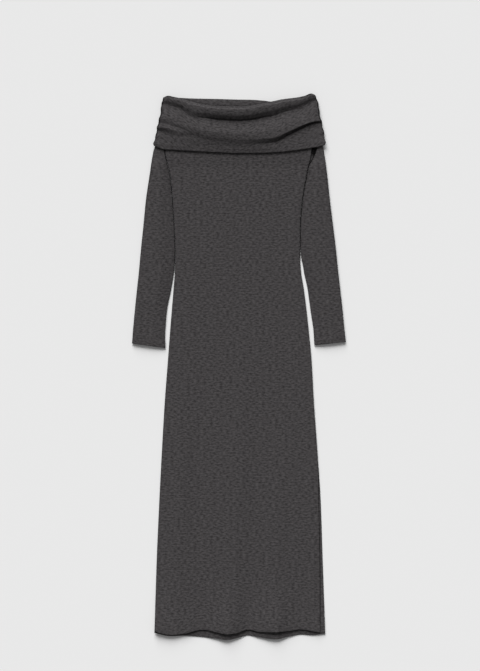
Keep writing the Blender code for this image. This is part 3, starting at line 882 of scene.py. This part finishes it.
def knit_material():
    """Charcoal melange rib knit, with painted shade: near black on the steep sides of folds and
    edges, and darker in the grooves between its ribs.
    """
    material, tree, shader = new_material("charcoal_melange_knit_painted_shade")
    cloth = tree.nodes.new("ShaderNodeUVMap")
    cloth.uv_map = "cloth"
    place = tree.nodes.new("ShaderNodeSeparateXYZ")
    tree.links.new(cloth.outputs["UV"], place.inputs["Vector"])
    across = place.outputs["X"]
    along = place.outputs["Y"]
    ribs = wave_node(tree, across, RIB)
    tone, flecks = melange_tone(tree, across, along, ribs)
    melange = mix_node(tree, tone, FIBRE_DARK, FIBRE_LIGHT)
    # Painted shade: the colour falls to near black where the cloth turns steep, standing in for the
    # shade at edges and in folds
    colour = mix_node(tree, painted_shade_levelness(tree), STEEP_PAINTED_SHADE, melange)
    tree.links.new(colour, shader.inputs["Base Color"])
    tree.links.new(knit_relief(tree, along, ribs, flecks), shader.inputs["Normal"])
    return material


def thread_material(name, colour):
    """Spun thread, matt and a little uneven in tone."""
    material, tree, shader = new_material(name)
    place = tree.nodes.new("ShaderNodeTexCoord")
    noise = tree.nodes.new("ShaderNodeTexNoise")
    noise.inputs["Scale"].default_value = THREAD_NOISE
    tree.links.new(place.outputs["Object"], noise.inputs["Vector"])
    dark = tuple(THREAD_SHADE * value for value in colour[:3]) + (1.0,)
    tree.links.new(mix_node(tree, noise.outputs["Fac"], dark, colour), shader.inputs["Base Color"])
    return material


def read_points(at, places, points):
    """Points or directions read between those that a path has at its places."""
    return np.stack([np.interp(at, places, points[:, axis]) for axis in range(3)], axis=-1)


def row_read(points, distances, wanted):
    """In each row of a grid, the point that lies at the wanted distance."""
    spots = []
    for row, distance in zip(points, distances):
        order = np.argsort(distance)
        spots.append(read_points(wanted, distance[order], row[order]))
    return np.array(spots)


def spaced(path, ups, pitch):
    """Points at even spacing along a path, with its direction and the cloth's at each."""
    lengths = np.concatenate([[0.0], np.cumsum(np.linalg.norm(np.diff(path, axis=0), axis=1))])
    at = np.arange(pitch / 2.0, lengths[-1], pitch)
    spots = read_points(at, lengths, path)
    along = np.gradient(spots, axis=0)
    return spots, along / np.linalg.norm(along, axis=1, keepdims=True), read_points(at, lengths, ups)


def stitch_corners(spots, along, up, reach, stitch):
    """Six corners of each stitch: its two ends, its two sides, its top and its root."""
    end = along * reach[:, None] / 2.0
    side = np.cross(along, up) * stitch.width / 2.0
    top = up * stitch.height
    return np.stack([spots + way for way in (-end, end, -side, side, top, -top)], axis=1)


def add_stitches(name, groups, material):
    """One joined mesh of many stitches, sewn to the cloth."""
    stitches = np.concatenate(groups)
    corners = np.arange(stitches.shape[0] * stitches.shape[1]).reshape(stitches.shape[:2])
    faces = []
    for back, front, left, right, top, root in corners.tolist():
        for a, b in ((front, left), (left, back), (back, right), (right, front)):
            faces.append((a, b, top))
            faces.append((b, a, root))
    piece = add_object(name, smooth_mesh(name, stitches.reshape(-1, 3), faces, material))
    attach(piece, BODY)


def line_stitches(path, ups, stitch):
    """Stitches end to end along a path on the cloth."""
    spots, along, up = spaced(path, ups, stitch.pitch)
    return stitch_corners(spots, along, up, np.full(len(spots), stitch.length), stitch)


def front_hem_stitches(outer):
    """Two rows above the front's hem and one beside the slit."""
    ups = surface_normals(outer)
    _, y, _, from_right = body_grid(1.0)
    inside = slice(HEM_ROW_END, -HEM_ROW_END)
    groups = []
    for height in HEM_STITCHES:
        row = np.argmin(np.abs(y[:, 0] - (HEM + height)))
        groups.append(line_stitches(outer[row, inside], ups[row, inside], COVER))
    open_rows = (y[:, 0] < SLIT_TOP) & (y[:, 0] > HEM + HEM_STITCHES[1])
    path = row_read(outer[open_rows], from_right[open_rows], SLIT_STITCHES)
    up = row_read(ups[open_rows], from_right[open_rows], SLIT_STITCHES)
    groups.append(line_stitches(path, up, COVER))
    return groups


def cuff_stitches(outer):
    """Two rounds above a cuff."""
    ups = surface_normals(outer)
    distance = end_distance(outer)[:, 0]
    lower = np.arange(len(distance)) > len(distance) // 2
    groups = []
    for height in CUFF_STITCHES:
        row = np.argmin(np.where(lower, np.abs(distance - height), np.inf))
        groups.append(line_stitches(outer[row], ups[row], COVER))
    return groups


def collar_edge_stitches(outer):
    """One row above the collar's lower edge."""
    ups = surface_normals(outer)[::-1].swapaxes(0, 1)
    distance = lengths_down(outer[::-1]).T
    outer = outer[::-1].swapaxes(0, 1)
    inside = slice(EDGE_STEPS, -EDGE_STEPS)
    path = row_read(outer[inside], distance[inside], LOWER_EDGE_STITCHES)
    up = row_read(ups[inside], distance[inside], LOWER_EDGE_STITCHES)
    return [line_stitches(path, up, COVER)]


def roll_rim(outer):
    """The ends of the ribs that bend over the roll's upper edge, in a light colour that is a painted
    highlight.
    """
    every_up = surface_normals(outer)
    across = collar_places()
    # Painted highlight: the span across the roll where the light rib ends lie
    painted_highlight = (across >= RIM_PAINTED_HIGHLIGHT_SPAN[0]) & (across <= RIM_PAINTED_HIGHLIGHT_SPAN[1])
    rows = np.interp(RIM_STOPS, section_stops(FRONT_SECTION), np.arange(len(outer)))
    groups = []
    for row in np.round(rows).astype(int):
        down = outer[row + 1] - outer[row - 1]
        down /= np.linalg.norm(down, axis=1, keepdims=True)
        spots, _, up = spaced(outer[row][painted_highlight], every_up[row][painted_highlight], RIM.pitch)
        turn = read_points(spots[:, 0], outer[row][:, 0], down)
        groups.append(stitch_corners(spots, turn, up, np.full(len(spots), RIM.length), RIM))
    return groups


def upright(points):
    """Straight up, for each of many points."""
    return np.tile(UPRIGHT, (len(points), 1))


def armhole_line(side):
    """Where a sleeve meets the body, as points up its length."""
    y = np.arange(ARMHOLE_LOW[side], ARMHOLE_HIGH, ARMHOLE_STEP)
    x = column(SIDES, side, y) + OUTWARD[side] * ARMHOLE_ASIDE
    z = SEAM_HEIGHT + WALL + SEAM_THREAD_RISE + collar_step(y)
    return np.stack([x, y, z], axis=1)


def armhole_wedge_painted_shadow():
    """A near-black sheet of overlock-shaped stitches in the right armhole, a painted shadow."""
    y = np.arange(WEDGE_LOW, ARMHOLE_HIGH, OVERLOCK_PAINTED_SHADOW.pitch)
    width = column(SIDES, "set_back", y)
    x = column(SIDES, "right", y) - width / 2.0
    spots = np.stack([x, y, np.full(len(y), WEDGE_HEIGHT)], axis=1)
    across = np.tile(SIDEWAYS, (len(y), 1))
    return stitch_corners(spots, across, upright(spots), width + WEDGE_TUCK, OVERLOCK_PAINTED_SHADOW)


def armhole_painted_shadow_stitches():
    """The linking of both armholes and the sheet in the right one, near black as painted shadow."""
    paths = [armhole_line(side) for side in OUTWARD]
    return [line_stitches(path, upright(path), LINKING_PAINTED_SHADOW) for path in paths] + [armhole_wedge_painted_shadow()]


def slit_painted_shadow_stitches(outer):
    """A near-black row where the front's free edge lies on the back beside the slit, a painted
    shadow.
    """
    _, y, _, from_right = body_grid(1.0)
    rows = (y[:, 0] < SLIT_TOP) & (y[:, 0] > SLIT_LOW)
    path = row_read(outer[rows], from_right[rows], SLIT_EDGE)
    path[:, 2] -= SLIT_SINK
    return [line_stitches(path, upright(path), LINKING_PAINTED_SHADOW)]


def add_sewing(shells):
    """All the stitches that show, among them near-black ones as painted shadow in the armholes and
    beside the slit, and light rib ends as a painted highlight on the roll.
    """
    outer = {node: faces[0] for node, (faces, _) in shells.items()}
    thread = thread_material("charcoal_thread", THREAD)
    # Painted shadow: near-black thread in the armholes and beside the slit
    painted_shadow_material = thread_material("painted_shadow_thread", SEAM_PAINTED_SHADOW)
    # Painted highlight: the light rib ends on the roll
    painted_highlight = thread_material("rib_ends_painted_highlight", RIB_END_PAINTED_HIGHLIGHT)
    add_stitches("front_hem_stitches", front_hem_stitches(outer["body_front"]), thread)
    add_stitches("left_cuff_stitches", cuff_stitches(outer["sleeve_left"]), thread)
    add_stitches("right_cuff_stitches", cuff_stitches(outer["sleeve_right"]), thread)
    add_stitches("collar_edge_stitches", collar_edge_stitches(outer["collar_front"]), thread)
    add_stitches("collar_roll_rim_painted_highlight", roll_rim(outer["collar_front"]), painted_highlight)
    add_stitches("armhole_linking_painted_shadow", armhole_painted_shadow_stitches(), painted_shadow_material)
    add_stitches("slit_edge_linking_painted_shadow", slit_painted_shadow_stitches(outer["body_front"]), painted_shadow_material)


def add_dress():
    """The six cut pieces, each in place of its solid."""
    knit = knit_material()
    shells = {
        "body_front": (body_front_faces(), False),
        "body_back": (body_back_faces(), False),
        "sleeve_left": (sleeve_faces(LEFT_SLEEVE, "left", LEFT_CUFF), True),
        "sleeve_right": (sleeve_faces(RIGHT_SLEEVE, "right", RIGHT_CUFF), True),
        "collar_front": (collar_front_faces(), False),
        "collar_back": (collar_back_faces(), False),
    }
    pieces = {}
    for node, (faces, closed) in shells.items():
        piece = add_shell(node + "_cloth", faces, closed, knit)
        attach(piece, BODY)
        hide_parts(node)
        pieces[node] = piece
    add_sewing(shells)
    return pieces


def add_floor():
    """A plain pale surface under the dress."""
    material, _, shader = new_material("pale_floor")
    shader.inputs["Base Color"].default_value = FLOOR_COLOUR
    half = FLOOR_SIZE / 2.0
    corners = [(-half, -half, 0), (half, -half, 0), (half, half, 0), (-half, half, 0)]
    mesh = bpy.data.meshes.new("floor")
    mesh.from_pydata(corners, [], [(0, 1, 2, 3)])
    mesh.materials.append(material)
    floor = add_object("floor", mesh)


def add_light():
    """An even sky and one soft lamp."""
    world = bpy.data.worlds.new("even_sky")
    world.use_nodes = True
    background = world.node_tree.nodes["Background"]
    background.inputs["Color"].default_value = SKY_COLOUR
    background.inputs["Strength"].default_value = SKY_STRENGTH
    bpy.context.scene.world = world
    lamp = bpy.data.lights.new("soft_lamp", "SUN")
    lamp.energy = LAMP_STRENGTH
    lamp.angle = math.radians(LAMP_SOFTNESS)
    holder = add_object("soft_lamp", lamp)
    holder.rotation_euler = Vector(LAMP_FROM).to_track_quat("Z", "Y").to_euler()


def add_camera():
    """Straight above, with a long lens that takes in the picture's height."""
    camera = bpy.data.cameras.new("overhead")
    camera.sensor_fit = "VERTICAL"
    camera.sensor_height = SENSOR
    camera.lens = SENSOR * CAMERA_HEIGHT / (IMAGE_HEIGHT * PIXEL)
    camera.clip_end = CLIP_END
    holder = add_object("overhead", camera)
    holder.location = (VIEW_X * MILLIMETRE, VIEW_Y * MILLIMETRE, CAMERA_HEIGHT * MILLIMETRE)
    bpy.context.scene.camera = holder


def main():
    """Dresses the frame and stages it."""
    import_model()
    bpy.context.scene.view_settings.view_transform = "Standard"
    add_camera()
    add_light()
    add_floor()
    pieces = add_dress()


main()
